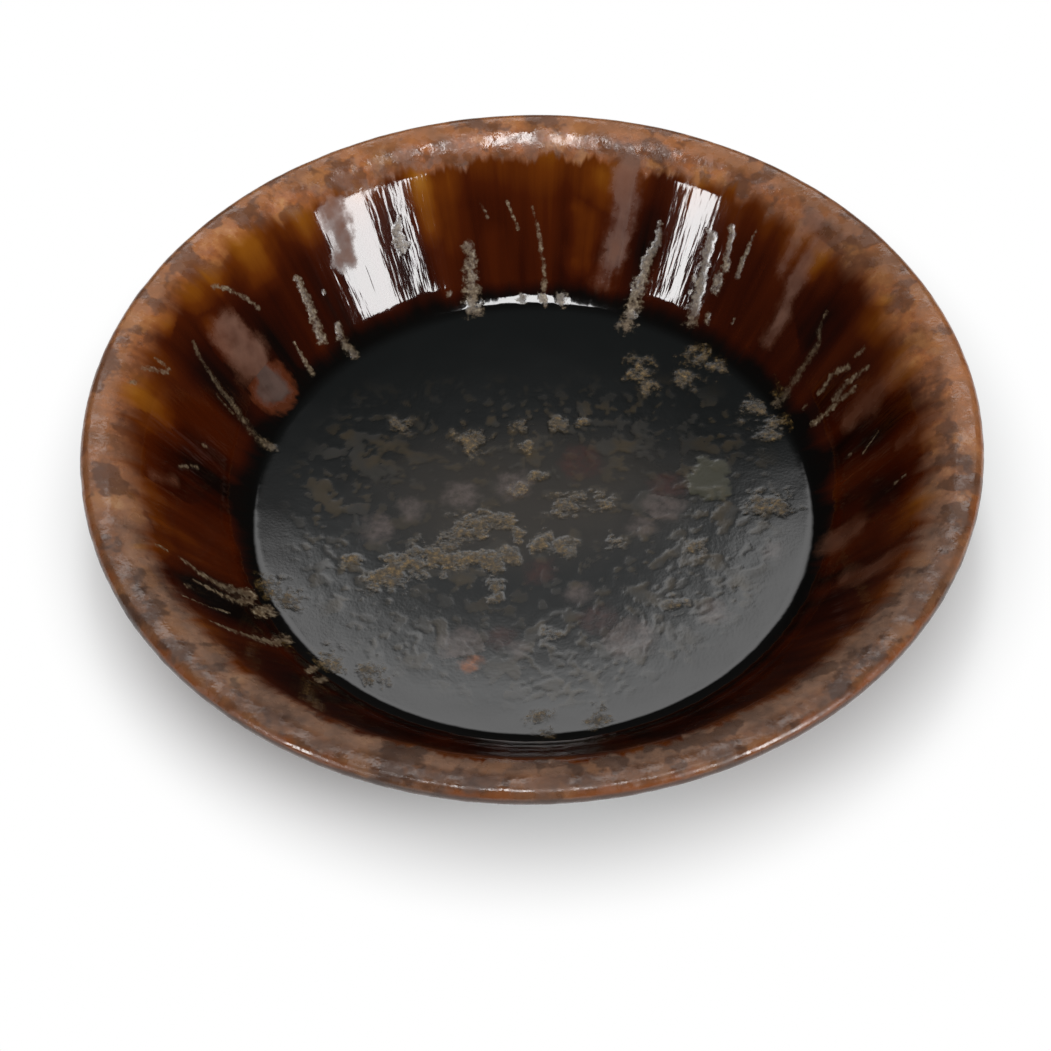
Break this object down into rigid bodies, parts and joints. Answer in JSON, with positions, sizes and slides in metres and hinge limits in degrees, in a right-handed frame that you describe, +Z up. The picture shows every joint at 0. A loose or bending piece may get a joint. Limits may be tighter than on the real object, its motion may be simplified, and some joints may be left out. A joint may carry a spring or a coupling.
{
  "type": "kitchen bowl",
  "caption": "Shallow round earthenware bowl with a wide, slightly dished floor, flaring wall, broad rounded lip and turned foot ring, under mottled brown glaze.",
  "frame": {"origin": "centre of the foot ring's resting face, on the table", "axes": "+Z up along the bowl's axis of turning; -Y towards the picture's camera, +X to its right"},
  "size_m": [0.241, 0.241, 0.0484],
  "materials": {
    "fired_clay": "matte",
    "pooled_glaze": "gloss",
    "wall_glaze": "gloss",
    "rim_glaze": "satin",
    "outside_glaze": "gloss"
  },
  "bodies": {
    "root": {"clay_body": "fired_clay", "floor_pool_glaze": "pooled_glaze", "inner_wall_glaze": "wall_glaze", "rim_glaze": "rim_glaze", "outside_glaze": "outside_glaze"}
  },
  "joints": []
}
